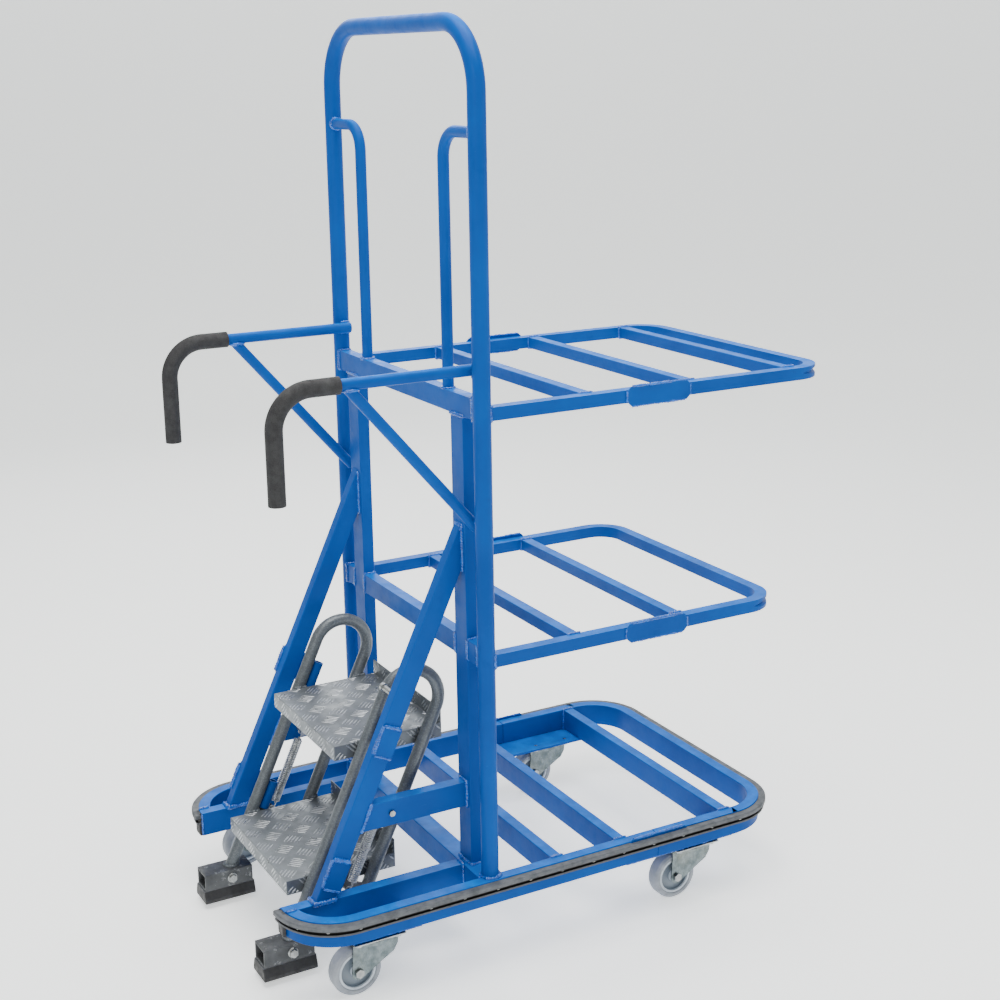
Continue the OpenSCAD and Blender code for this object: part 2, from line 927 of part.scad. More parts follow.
module tyre() {
  half = wheel_w / 2;
  soft = 5;
  translate([0, -trail, wheel_r]) rotate([0, 90, 0]) rotate_extrude()
    polygon([
      [wheel_r - 12, -half + 1], [wheel_r - 10, -half], [wheel_r - soft, -half],
      [wheel_r, -half + soft], [wheel_r, half - soft], [wheel_r - soft, half],
      [wheel_r - 10, half], [wheel_r - 12, half - 1]
    ]);
}

module at_castor(i) {
  placed() translate([castor_at[i][0], castor_at[i][1], 0]) children();
}

module fork_front_near() {
  color(zinc) at_castor(0) fork();
}

module fork_front_far() {
  color(zinc) at_castor(1) fork();
}

module fork_rear_near() {
  color(zinc) at_castor(2) fork();
}

module fork_rear_far() {
  color(zinc) at_castor(3) fork();
}

module axle_front_near() {
  color(zinc) at_castor(0) axle();
}

module axle_front_far() {
  color(zinc) at_castor(1) axle();
}

module axle_rear_near() {
  color(zinc) at_castor(2) axle();
}

module axle_rear_far() {
  color(zinc) at_castor(3) axle();
}

module hub_front_near() {
  color(pale) at_castor(0) hub();
}

module hub_front_far() {
  color(pale) at_castor(1) hub();
}

module hub_rear_near() {
  color(pale) at_castor(2) hub();
}

module hub_rear_far() {
  color(pale) at_castor(3) hub();
}

module tyre_front_near() {
  color(grey) at_castor(0) tyre();
}

module tyre_front_far() {
  color(grey) at_castor(1) tyre();
}

module tyre_rear_near() {
  color(grey) at_castor(2) tyre();
}

module tyre_rear_far() {
  color(grey) at_castor(3) tyre();
}

base_side_rail_near();
base_side_rail_far();
base_rear_rail();
base_inner_rails();
base_cross_member();
deck_bars();
castor_mount_plates();
bumper_strip();
bumper_screws();
mast_hoop();
back_uprights();
upper_crossbar();
middle_crossbar();
guard_tubes();
upper_load_hoop();
upper_hoop_bars();
middle_load_hoop();
middle_hoop_bars();
joint_plates();
handle_near();
handle_far();
handle_braces();
grip_near();
grip_far();
stringers();
stringer_braces();
guide_brackets();
guide_tubes();
guide_pin();
spring_bolts();
return_springs();
castor_top_plates();
castor_kingpins();
castor_screws();
hairpin_legs();
hairpin_bends();
upper_tread();
lower_tread();
foot_boxes();
foot_pads();
foot_bolts();
spring_lugs();
fork_front_near();
fork_front_far();
fork_rear_near();
fork_rear_far();
axle_front_near();
axle_front_far();
axle_rear_near();
axle_rear_far();
hub_front_near();
hub_front_far();
hub_rear_near();
hub_rear_far();
tyre_front_near();
tyre_front_far();
tyre_rear_near();
tyre_rear_far();
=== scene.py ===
import json
import math
import random

import bpy
from mathutils import Matrix, Vector


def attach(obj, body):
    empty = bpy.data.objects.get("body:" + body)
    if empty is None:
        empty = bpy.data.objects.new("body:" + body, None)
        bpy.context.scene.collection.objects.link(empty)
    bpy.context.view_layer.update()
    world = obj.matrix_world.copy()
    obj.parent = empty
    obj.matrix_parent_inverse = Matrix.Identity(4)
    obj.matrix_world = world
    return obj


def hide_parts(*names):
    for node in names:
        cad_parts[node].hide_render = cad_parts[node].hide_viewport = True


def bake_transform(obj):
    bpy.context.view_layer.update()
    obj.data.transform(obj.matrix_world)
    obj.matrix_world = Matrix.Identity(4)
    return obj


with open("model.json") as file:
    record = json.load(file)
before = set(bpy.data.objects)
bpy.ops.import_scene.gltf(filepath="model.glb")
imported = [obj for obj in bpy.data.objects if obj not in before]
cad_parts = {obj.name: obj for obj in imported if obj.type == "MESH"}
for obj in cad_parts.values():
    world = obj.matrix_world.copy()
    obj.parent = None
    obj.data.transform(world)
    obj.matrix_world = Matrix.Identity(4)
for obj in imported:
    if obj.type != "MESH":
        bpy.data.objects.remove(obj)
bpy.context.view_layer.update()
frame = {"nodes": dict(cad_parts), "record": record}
nodes = frame["nodes"]
random.seed(7)

# ---------------------------------------------------------------- main dimensions
# Millimetres, as in the CAD: x from the middle, depths from the mast, heights from the floor.
MAST_Y = -185.0
MAST_X = 315.0
MAST_R = 17.0

# base; a pair is the two sides of a rail
SIDE_OUT = 340.0
SIDE_IN = 315.0
BASE_FRONT = -400.0
BASE_REAR = 690.0
BASE_BEND_R = 110.0
RAIL_LOW = 125.0
DECK_Z = 175.0
INNER_RAIL = (225.0, 250.0)
CROSS_Y = (-25.0, 15.0)
DECK_BAR_Y = (150.0, 300.0, 560.0)
SCREW_Z = 160.5

# mast; UPRIGHT is the two sides of an upright
UPRIGHT = (212.5, 262.5)
UPRIGHT_HALF = 12.5
UPPER_BAR_Z = 1080.0
MIDDLE_BAR_Z = 605.0
CROSSBAR_H = 40.0
SMALL_R = 11.0
GUARD_X = 183.0
GUARD_TOP = 1593.0

# load hoops (height of each, with the depths of its bars) and plates over their joints
HOOP_S = 25.0
HOOP_HALF = HOOP_S / 2.0
HOOP_BARS = {UPPER_BAR_Z: (230.0, 465.0, 709.5), MIDDLE_BAR_Z: (200.0, 440.0)}
JOINT_Y = 378.0
PLATE_HALF_L = 72.5
PLATE_HALF_H = 19.0
PLATE_CUT = 9.0

# handles and their braces
HANDLE_X = 287.0
HANDLE_Z = 1170.0
BRACE_R = 10.5

# guides and step unit; brackets and spring eyes are places along the incline
TILT = math.radians(25.0)
FOOT_Y = -395.0
HAIRPIN_X = 170.0
HAIRPIN_R = 12.5
HAIRPIN_W = 120.0
TREAD_HALF = 157.5
TREAD_DEPTH = 231.0
TREAD_T = 3.0
TREAD_FOLD = 30.0
UPPER_TREAD = {"top": 440.0, "front": -251.0}
LOWER_TREAD = {"top": 186.0, "front": -361.0}
FOOT_BOX_TOP = 74.0
BRACKET_U = (215.0, 485.0)
BRACKET_L = 60.0
STRINGER_BRACE_Z = (298.0, 348.0)
SPRING_X = 204.0
SPRING_W = 62.0
SPRING_EYES = (205.0, 385.0)

CASTOR_X = 296.0


# ---------------------------------------------------------------- places
X, Y, Z = Vector((1, 0, 0)), Vector((0, 1, 0)), Vector((0, 0, 1))


def at(x, y, z):
    """A point counted from the mast, in millimetres, as metres in the object's frame."""
    return Vector((x, y + MAST_Y, z)) / 1000.0


def on_incline(x, w, u):
    """A point of the step unit's guides: u runs up the incline, w away from it."""
    y = FOOT_Y + u * math.sin(TILT) + w * math.cos(TILT)
    z = u * math.cos(TILT) - w * math.sin(TILT)
    return at(x, y, z)


def across(xs, first, second):
    """Four corners: both ends of xs at the depth and height of first, then of second."""
    return [at(xs[0], *first), at(xs[1], *first), at(xs[1], *second), at(xs[0], *second)]


def upright_face(x, ys, zs):
    """Four corners of a rectangle that stands at x."""
    return [at(x, ys[0], zs[0]), at(x, ys[1], zs[0]), at(x, ys[1], zs[1]), at(x, ys[0], zs[1])]


def on_leg(y, z):
    """A point on the inner side of the near mast leg."""
    return at(MAST_X - math.sqrt(MAST_R**2 - y**2), y, z)


def on_leg_back(x, z):
    """A point on the rear side of the near mast leg."""
    return at(x, math.sqrt(MAST_R**2 - (x - MAST_X) ** 2), z)


def square_on_leg(z0, z1, half):
    """Where a square tube that runs across meets the near leg."""
    ys = [-half + half * i / 6.0 for i in range(13)]
    return [on_leg(y, z0) for y in ys] + [on_leg(y, z1) for y in reversed(ys)]


def round_on_leg(z, r, count=28):
    """Where a round tube that runs across meets the near leg."""
    angles = [2.0 * math.pi * i / count for i in range(count)]
    return [on_leg(r * math.sin(t), z + r * math.cos(t)) for t in angles]


def ring(centre, u, v, r1, r2=None, count=40):
    """An ellipse with half axes r1 along u and r2 along v, in millimetres."""
    r2 = r2 or r1
    angles = [2.0 * math.pi * i / count for i in range(count)]
    return [centre + (math.cos(t) * r1 * u + math.sin(t) * r2 * v) / 1000.0 for t in angles]


# ---------------------------------------------------------------- materials
class Surface:
    """One procedural material, built on a Principled shader."""

    def __init__(self, name, metallic=0.0, coat=0.0):
        self.mat = bpy.data.materials.new(name)
        self.mat.use_nodes = True
        self.tree = self.mat.node_tree
        self.shader = self.tree.nodes["Principled BSDF"]
        self.shader.inputs["Metallic"].default_value = metallic
        self.shader.inputs["Coat Weight"].default_value = coat
        self.shader.inputs["Coat Roughness"].default_value = 0.12
        self.coord = self.tree.nodes.new("ShaderNodeTexCoord").outputs["Object"]
        self.last_bump = None

    def node(self, kind, **sockets):
        """A new shader node with these socket values."""
        made = self.tree.nodes.new(kind)
        for key, value in sockets.items():
            made.inputs[key].default_value = value
        return made

    def link(self, a, b):
        self.tree.links.new(a, b)

    def stretched(self, x, y, z):
        """Object coordinates scaled along each axis."""
        m = self.node("ShaderNodeMapping", Scale=(x, y, z))
        self.link(self.coord, m.inputs["Vector"])
        return m.outputs["Vector"]

    def noise(self, scale, detail=4.0, rough=0.55, vector=None):
        """Fractal noise from 0 to 1, in object coordinates if no vector is given."""
        n = self.node("ShaderNodeTexNoise", Scale=scale, Detail=detail, Roughness=rough)
        self.link(vector or self.coord, n.inputs["Vector"])
        return n.outputs["Fac"]

    def cells(self, scale, smooth=0.6):
        """Distance to the middle of rounded cells."""
        n = self.node("ShaderNodeTexVoronoi")
        n.feature = "SMOOTH_F1"
        n.inputs["Scale"].default_value = scale
        n.inputs["Smoothness"].default_value = smooth
        self.link(self.coord, n.inputs["Vector"])
        return n.outputs["Distance"]

    def ramp(self, value, low, high, a=0.0, b=1.0):
        """Goes smoothly from a to b while value goes from low to high."""
        r = self.node("ShaderNodeMapRange")
        r.interpolation_type = "SMOOTHSTEP"
        self.link(value, r.inputs["Value"])
        r.inputs["From Min"].default_value = low
        r.inputs["From Max"].default_value = high
        r.inputs["To Min"].default_value = a
        r.inputs["To Max"].default_value = b
        return r.outputs["Result"]

    def maths(self, kind, a, b=0.0):
        """Arithmetic on socket a with b, which is a socket or a number."""
        m = self.node("ShaderNodeMath")
        m.operation = kind
        self.link(a, m.inputs[0])
        if isinstance(b, float):
            m.inputs[1].default_value = b
        else:
            self.link(b, m.inputs[1])
        return m.outputs["Value"]

    def times(self, a, b):
        return self.maths("MULTIPLY", a, b)

    def axis(self, vector, letter):
        """One component of a vector, X, Y or Z."""
        split = self.node("ShaderNodeSeparateXYZ")
        self.link(vector, split.inputs["Vector"])
        return split.outputs[letter]

    def mix(self, fac, a, b):
        """From colour a to colour b, each a tuple or a socket."""
        m = self.node("ShaderNodeMix")
        m.data_type = "RGBA"
        self.link(fac, m.inputs[0])
        for socket, value in ((m.inputs[6], a), (m.inputs[7], b)):
            if isinstance(value, tuple):
                socket.default_value = (*value, 1.0)
            else:
                self.link(value, socket)
        return m.outputs[2]

    def facing_up(self, low=0.6, high=0.95):
        """1 on faces that look up, 0 on upright ones."""
        geometry = self.node("ShaderNodeNewGeometry")
        return self.ramp(self.axis(geometry.outputs["Normal"], "Z"), low, high)

    def height_band(self, low, high, edge):
        """1 between two heights, 0 outside them."""
        height = self.axis(self.coord, "Z")
        rising = self.ramp(height, low - edge, low)
        return self.times(rising, self.ramp(height, high, high + edge, 1.0, 0.0))

    def web_shade_mask(self, centre, half):
        """1 near the middle plane of the wheels, which stand at plus and minus centre across; the hubs
        get painted shade there.
        """
        sideways = self.maths("ABSOLUTE", self.axis(self.coord, "X"))
        off = self.maths("ABSOLUTE", self.maths("SUBTRACT", sideways, centre))
        return self.ramp(off, half - 0.0015, half, 1.0, 0.0)

    def colour(self, socket):
        self.link(socket, self.shader.inputs["Base Color"])

    def rough(self, socket):
        self.link(socket, self.shader.inputs["Roughness"])

    def bump(self, height, depth, strength=1.0):
        """Adds a bump, depth in metres, on top of the bumps before it."""
        b = self.node("ShaderNodeBump", Strength=strength, Distance=depth)
        self.link(height, b.inputs["Height"])
        if self.last_bump:
            self.link(self.last_bump, b.inputs["Normal"])
        self.last_bump = b.outputs["Normal"]
        self.link(self.last_bump, self.shader.inputs["Normal"])


def blue_paint():
    """Worn blue enamel of the frame, with a painted highlight where it faces up."""
    s = Surface("blue_paint")
    patch = s.ramp(s.noise(5.0, 5.0), 0.3, 0.7)
    base = s.mix(patch, (0.0, 0.058, 0.29), (0.0, 0.078, 0.37))
    grime = s.ramp(s.noise(22.0, 7.0, 0.6), 0.56, 0.80, 0.0, 0.30)
    base = s.mix(grime, base, (0.0, 0.036, 0.18))
    scuff = s.ramp(s.noise(240.0, 3.0, 0.5, s.stretched(1.0, 0.12, 1.0)), 0.70, 0.74, 0.0, 0.22)
    base = s.mix(scuff, base, (0.01, 0.12, 0.46))
    # painted highlight: paler blue on faces that look up
    painted_top_highlight = s.times(s.facing_up(), s.ramp(s.noise(24.0, 6.0), 0.35, 0.75, 0.35, 0.75))
    s.colour(s.mix(painted_top_highlight, base, (0.0, 0.19, 0.74)))
    s.rough(s.ramp(s.noise(30.0, 6.0), 0.3, 0.75, 0.30, 0.48))
    s.shader.inputs["Specular IOR Level"].default_value = 0.07
    s.bump(s.noise(120.0, 2.0), 0.00016)
    s.bump(s.noise(900.0, 2.0), 0.00002)
    return s.mat


def weld_paint():
    """The same paint over weld beads, glossier, with a brighter colour and paler spots painted on as
    highlights.
    """
    s = Surface("weld_paint", coat=0.5)
    # painted highlight: a brighter blue than the frame's paint, with paler spots for glints
    base = s.mix(s.ramp(s.noise(120.0, 5.0, 0.6), 0.35, 0.65), (0.0, 0.06, 0.36), (0.0, 0.13, 0.58))
    painted_glints = s.ramp(s.noise(260.0, 6.0, 0.7), 0.58, 0.70, 0.0, 0.5)
    s.colour(s.mix(painted_glints, base, (0.03, 0.24, 0.80)))
    s.rough(s.ramp(s.noise(200.0, 4.0), 0.3, 0.7, 0.14, 0.30))
    s.bump(s.noise(620.0, 3.0), 0.0004)
    return s.mat


def hammer_paint():
    """Grey hammered enamel of the step unit."""
    s = Surface("hammer_paint", metallic=0.35)
    dents = s.cells(300.0)
    base = s.mix(s.ramp(dents, 0.15, 0.6), (0.15, 0.17, 0.185), (0.105, 0.12, 0.132))
    patch = s.ramp(s.noise(16.0, 6.0, 0.65), 0.45, 0.75, 0.0, 0.45)
    base = s.mix(patch, base, (0.19, 0.21, 0.225))
    dirt = s.ramp(s.noise(60.0, 8.0, 0.7), 0.60, 0.72, 0.0, 0.5)
    s.colour(s.mix(dirt, base, (0.07, 0.075, 0.08)))
    s.rough(s.ramp(s.noise(80.0, 5.0), 0.3, 0.7, 0.30, 0.52))
    s.bump(dents, 0.00035, 0.7)
    s.bump(s.noise(420.0, 3.0), 0.00012)
    return s.mat


def tread_paint():
    """Plates of the treads between their bars."""
    s = Surface("tread_paint", metallic=0.6)
    base = s.mix(s.ramp(s.noise(9.0, 6.0, 0.6), 0.3, 0.7), (0.135, 0.15, 0.165), (0.205, 0.225, 0.24))
    rub = s.ramp(s.noise(130.0, 6.0, 0.75), 0.58, 0.72, 0.0, 0.5)
    base = s.mix(rub, base, (0.30, 0.32, 0.34))
    soil = s.ramp(s.noise(34.0, 8.0, 0.7), 0.58, 0.70, 0.0, 0.45)
    s.colour(s.mix(soil, base, (0.09, 0.10, 0.11)))
    s.rough(s.ramp(s.noise(60.0, 5.0), 0.3, 0.7, 0.32, 0.55))
    s.bump(s.noise(260.0, 4.0), 0.00022)
    return s.mat


def rubbed_bars():
    """Raised bars of the treads, rubbed bright."""
    s = Surface("rubbed_bars", metallic=0.75)
    base = s.mix(s.ramp(s.noise(45.0, 6.0, 0.7), 0.36, 0.60), (0.25, 0.27, 0.29), (0.55, 0.575, 0.60))
    s.colour(base)
    s.rough(s.ramp(s.noise(90.0, 5.0), 0.3, 0.7, 0.24, 0.46))
    s.bump(s.noise(400.0, 3.0), 0.0001)
    return s.mat


def dark_paint():
    """Dark grey paint, chipped."""
    s = Surface("dark_paint", metallic=0.3, coat=0.1)
    base = s.mix(s.ramp(s.noise(26.0, 6.0), 0.3, 0.7), (0.045, 0.048, 0.052), (0.085, 0.09, 0.096))
    chips = s.ramp(s.noise(60.0, 8.0, 0.7), 0.585, 0.62, 0.0, 0.85)
    s.colour(s.mix(chips, base, (0.19, 0.20, 0.21)))
    s.rough(s.ramp(s.noise(70.0, 5.0), 0.3, 0.7, 0.34, 0.62))
    s.bump(s.noise(300.0, 4.0), 0.0002)
    return s.mat


def zinc(name="zinc", streak=(1.0, 1.0, 0.12), low=(0.26, 0.27, 0.27), high=(0.46, 0.475, 0.47)):
    """Zinc-plated steel, its gloss streaked along one axis."""
    s = Surface(name, metallic=1.0)
    base = s.mix(s.ramp(s.noise(60.0, 6.0), 0.3, 0.7), low, high)
    tint = s.ramp(s.noise(14.0, 4.0), 0.45, 0.75, 0.0, 0.25)
    s.colour(s.mix(tint, base, (0.36, 0.35, 0.28)))
    s.rough(s.ramp(s.noise(260.0, 4.0, 0.6, s.stretched(*streak)), 0.3, 0.7, 0.22, 0.42))
    s.bump(s.noise(500.0, 3.0), 0.00006)
    return s.mat


def black_rubber():
    """Dusty black rubber."""
    s = Surface("black_rubber")
    base = s.mix(s.ramp(s.noise(40.0, 6.0), 0.3, 0.7), (0.011, 0.011, 0.012), (0.024, 0.024, 0.026))
    dust = s.times(s.facing_up(0.4, 0.9), s.ramp(s.noise(48.0, 8.0, 0.7), 0.3, 0.72, 0.35, 0.95))
    s.colour(s.mix(dust, base, (0.16, 0.17, 0.19)))
    s.rough(s.ramp(s.noise(90.0, 5.0), 0.3, 0.7, 0.48, 0.75))
    s.bump(s.noise(330.0, 4.0), 0.0002)
    return s.mat


def bumper_rubber():
    """Worn grey bumper, with painted shade: black in the recess between its lips, darker on the lower
    lip under the upper one.
    """
    s = Surface("bumper_rubber")
    worn = s.mix(s.ramp(s.noise(40.0, 7.0, 0.65), 0.3, 0.7), (0.055, 0.062, 0.07), (0.115, 0.125, 0.14))
    scrape = s.ramp(s.noise(160.0, 5.0, 0.6, s.stretched(0.2, 0.2, 1.0)), 0.60, 0.72, 0.0, 0.6)
    worn = s.mix(scrape, worn, (0.05, 0.055, 0.06))
    # painted shade: near black in the recess between the lips, darker on the lower lip under the upper
    # one; heights in metres
    groove_shade = s.height_band(0.1568, 0.1648, 0.0004)
    lip_shade = s.height_band(0.150, 0.1562, 0.0006)
    base = s.mix(lip_shade, worn, (0.06, 0.066, 0.075))
    s.colour(s.mix(groove_shade, base, (0.011, 0.011, 0.012)))
    s.rough(s.ramp(s.noise(90.0, 5.0), 0.3, 0.7, 0.48, 0.72))
    s.bump(s.noise(330.0, 4.0), 0.0002)
    return s.mat


def foam():
    """Foam of the handle grips."""
    s = Surface("foam")
    pores = s.cells(900.0, 0.2)
    base = s.mix(s.ramp(pores, 0.2, 0.6), (0.008, 0.008, 0.009), (0.022, 0.022, 0.024))
    rub = s.ramp(s.noise(26.0, 6.0), 0.52, 0.75, 0.0, 0.5)
    s.colour(s.mix(rub, base, (0.04, 0.041, 0.043)))
    s.rough(s.ramp(s.noise(70.0, 4.0), 0.3, 0.7, 0.62, 0.86))
    s.bump(pores, 0.0004, 0.8)
    return s.mat


def wheel_plastic():
    """Pale plastic of the hubs, with painted shade in the hollow between the rims."""
    s = Surface("wheel_plastic", coat=0.1)
    base = s.mix(s.ramp(s.noise(34.0, 5.0), 0.3, 0.7), (0.44, 0.50, 0.56), (0.58, 0.65, 0.72))
    # painted shade: darker blue-grey in the hollow between the rims
    web_shade = s.web_shade_mask(CASTOR_X / 1000.0, 0.0105)
    base = s.mix(web_shade, base, (0.17, 0.21, 0.255))
    soil = s.ramp(s.noise(90.0, 8.0, 0.7), 0.57, 0.70, 0.0, 0.5)
    s.colour(s.mix(soil, base, (0.20, 0.215, 0.23)))
    s.rough(s.ramp(s.noise(60.0, 4.0), 0.3, 0.7, 0.34, 0.5))
    s.bump(s.noise(420.0, 3.0), 0.0001)
    return s.mat


def grey_tyre():
    """Grey rubber of the tyres."""
    s = Surface("grey_tyre")
    base = s.mix(s.ramp(s.noise(42.0, 6.0), 0.3, 0.7), (0.22, 0.245, 0.28), (0.32, 0.345, 0.385))
    soil = s.ramp(s.noise(70.0, 8.0, 0.75), 0.55, 0.72, 0.0, 0.5)
    s.colour(s.mix(soil, base, (0.12, 0.115, 0.115)))
    s.rough(s.ramp(s.noise(60.0, 4.0), 0.3, 0.7, 0.5, 0.72))
    s.bump(s.noise(350.0, 4.0), 0.00015)
    return s.mat


BLUE = blue_paint()
WELD = weld_paint()
HAMMER = hammer_paint()
TREAD = tread_paint()
BARS = rubbed_bars()
DARK = dark_paint()
ZINC = zinc()
SPRING_STEEL = zinc("spring_steel", (1.0, 1.0, 1.0), (0.42, 0.44, 0.45), (0.68, 0.70, 0.71))
FORK_ZINC = zinc("fork_zinc", (1.0, 1.0, 0.3), (0.10, 0.125, 0.13), (0.19, 0.225, 0.235))
BUMPER = bumper_rubber()
RUBBER = black_rubber()
FOAM = foam()
HUB = wheel_plastic()
TYRE = grey_tyre()

BY_SLOT = {
    "blue_paint": BLUE,
    "hammer_paint": HAMMER,
    "dark_paint": DARK,
    "black_rubber": RUBBER,
    "foam": FOAM,
    "zinc": ZINC,
    "wheel_plastic": HUB,
    "grey_tyre": TYRE,
}


# ---------------------------------------------------------------- meshes
def new_piece(name, verts, faces, material, body, smooth=True):
    """A mesh object that rides on a body, if one is given."""
    mesh = bpy.data.meshes.new(name)
    mesh.from_pydata([tuple(v) for v in verts], [], faces)
    mesh.validate()
    mesh.update()
    if smooth:
        mesh.shade_smooth()
    piece = bpy.data.objects.new(name, mesh)
    bpy.context.scene.collection.objects.link(piece)
    mesh.materials.append(material)
    if body:
        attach(piece, body)
    return piece


def sweep(points, radii, sides=8, closed=False):
    """Round tube along points, each with its own radius; returns verts and faces."""
    count = len(points)
    verts, faces = [], []
    side = None
    for i, p in enumerate(points):
        if closed:
            t = points[(i + 1) % count] - points[i - 1]
        else:
            t = points[min(i + 1, count - 1)] - points[max(i - 1, 0)]
        t.normalize()
        if side is None:
            side = t.orthogonal()
        side = (side - t * side.dot(t)).normalized()
        other = t.cross(side)
        for k in range(sides):
            a = 2.0 * math.pi * k / sides
            verts.append(p + radii[i] * (math.cos(a) * side + math.sin(a) * other))
    rings = count if closed else count - 1
    for i in range(rings):
        a0, b0 = i * sides, ((i + 1) % count) * sides
        shift = 0
        if closed and i == count - 1:
            shift = min(range(sides), key=lambda s: (verts[a0] - verts[b0 + s]).length)
        for k in range(sides):
            k2 = (k + 1) % sides
            faces.append((a0 + k, a0 + k2, b0 + (k2 + shift) % sides, b0 + (k + shift) % sides))
    if not closed:
        faces.append(tuple(range(sides))[::-1])
        faces.append(tuple((count - 1) * sides + k for k in range(sides)))
    return verts, faces


def resampled(points, step, closed):
    """The same line with points about one step apart."""
    line = points + [points[0]] if closed else points
    out = []
    for a, b in zip(line, line[1:]):
        n = max(1, round((b - a).length / step))
        out += [a.lerp(b, i / n) for i in range(n)]
    return out if closed else out + [line[-1]]


class Beads:
    """Collects weld beads, each a rippled and slightly wandering tube."""

    def __init__(self):
        self.verts, self.faces = [], []

    def add(self, points, radius=2.6, closed=False):
        """One bead along points, its radius in millimetres."""
        step, wander = 0.0016, 0.0003
        pts = resampled(points, step, closed)
        phase = random.uniform(0.0, 6.0)
        ripple = random.uniform(0.0042, 0.0056)
        swell = 1.0
        radii, moved = [], []
        for i, p in enumerate(pts):
            swell += random.uniform(-0.12, 0.12)
            swell = min(1.25, max(0.78, swell))
            wave = 0.86 + 0.34 * abs(math.sin(phase + math.pi * i * step / ripple))
            radii.append(1.35 * radius / 1000.0 * swell * wave)
            moved.append(p + Vector([random.gauss(0.0, wander) for _ in range(3)]))
        verts, faces = sweep(moved, radii, 7, closed)
        base = len(self.verts)
        self.verts += verts
        self.faces += [tuple(base + k for k in f) for f in faces]

    def both(self, points, radius=2.6, closed=False):
        """The bead and its mirror image on the far side."""
        self.add(points, radius, closed)
        self.add([Vector((-p.x, p.y, p.z)) for p in points], radius, closed)


def mast_beads(b):
    """Crossbars and guard tubes on the legs, uprights, and the legs on the base."""
    for z in (UPPER_BAR_Z, MIDDLE_BAR_Z):
        b.both(square_on_leg(z, z + CROSSBAR_H, UPRIGHT_HALF), closed=True)
    b.both(round_on_leg(GUARD_TOP, SMALL_R), 2.2, True)
    b.both(ring(at(GUARD_X, 0.0, UPPER_BAR_Z + CROSSBAR_H), X, Y, SMALL_R + 0.5), 2.2, True)
    for z, radius in ((UPPER_BAR_Z, 2.6), (DECK_Z, 3.0)):
        b.both(across(UPRIGHT, (-UPRIGHT_HALF, z), (UPRIGHT_HALF, z)), radius, True)
    low, high = MIDDLE_BAR_Z, MIDDLE_BAR_Z + CROSSBAR_H
    for x in UPRIGHT:
        for y in (-UPRIGHT_HALF, UPRIGHT_HALF):
            b.both([at(x, y, low + 1.0), at(x, y, high - 1.0)], 2.0)
        for z in (low, high):
            b.both([at(x, 0.5 - UPRIGHT_HALF, z), at(x, UPRIGHT_HALF - 0.5, z)], 2.4)
    b.both(ring(at(MAST_X, 0.0, DECK_Z), X, Y, MAST_R + 0.5), 3.2, True)


def hoop_beads(b):
    """Load hoops on the backs of the legs, and the bars inside the hoops."""
    xs = [MAST_X + 3.0 * i for i in range(-4, 5)]
    for z in HOOP_BARS:
        for edge in (z, z + HOOP_S):
            b.both([on_leg_back(x, edge) for x in xs], 2.4)
        for x in (xs[0], xs[-1]):
            b.both([on_leg_back(x, z + 1.0), on_leg_back(x, z + HOOP_S - 1.0)], 2.4)
    for z, depths in HOOP_BARS.items():
        for y in depths:
            ys = (y - HOOP_HALF, y + HOOP_HALF)
            b.both(upright_face(MAST_X - HOOP_HALF, ys, (z, z + HOOP_S)), 2.0, True)


def base_beads(b):
    """Bars between the side rails, and the inner rails on them and on the cross-member."""
    for ys in [CROSS_Y] + [(y - HOOP_HALF, y + HOOP_HALF) for y in DECK_BAR_Y]:
        b.both(upright_face(SIDE_IN, ys, (DECK_Z, RAIL_LOW + 1.0)), 2.2, True)
    inner, outer = INNER_RAIL
    b.both([at(outer, BASE_FRONT + 2.0, DECK_Z), at(outer, BASE_FRONT + 23.0, DECK_Z)], 2.4)
    corner = [(inner, DECK_Z), (outer, DECK_Z), (outer, RAIL_LOW + 2.0)]
    b.both([at(x, CROSS_Y[0], z) for x, z in corner], 2.6)
    b.both([at(inner, BASE_FRONT, z) for z in (DECK_Z - 1.0, RAIL_LOW + 2.0)], 1.6)


def joint_plate_beads(b):
    """Plates over the joints: all round on the load hoops, along the upper edge on the base."""
    long_edge = (JOINT_Y - 61.0, JOINT_Y + 61.0)
    for z in HOOP_BARS:
        x = MAST_X + HOOP_HALF + 1.0
        low = z + HOOP_HALF - PLATE_HALF_H
        high = z + HOOP_HALF + PLATE_HALF_H
        for edge in (high, low):
            b.both([at(x, y, edge) for y in long_edge], 1.7)
        for y in (JOINT_Y - PLATE_HALF_L, JOINT_Y + PLATE_HALF_L):
            b.both([at(x, y, low + PLATE_CUT), at(x, y, high - PLATE_CUT)], 1.7)
    b.both([at(SIDE_OUT + 1.0, y, DECK_Z + 4.0) for y in long_edge], 1.7)


def handle_beads(b):
    """Handles on the inner sides of the legs, and the braces at both their ends."""
    side = MAST_X - MAST_R
    for z in (HANDLE_Z - BRACE_R, HANDLE_Z + BRACE_R):
        b.both([at(side - 1.0, y, z) for y in range(-9, 12, 4)], 2.4)
    b.both([at(side, y, HANDLE_Z - 8.0) for y in (-6.0, 6.0)], 2.4)
    b.both(ring(at(HANDLE_X, -246.0, HANDLE_Z - BRACE_R), X, Y, 10.0, 14.0), 2.3, True)
    b.both([at(side, -9.0 + 1.6 * i, 887.0 - 2.4 * i) for i in range(9)], 2.6)
    b.both([at(side - 1.5, -2.0 + 0.6 * i, 884.0 - 3.0 * i) for i in range(7)], 2.2)


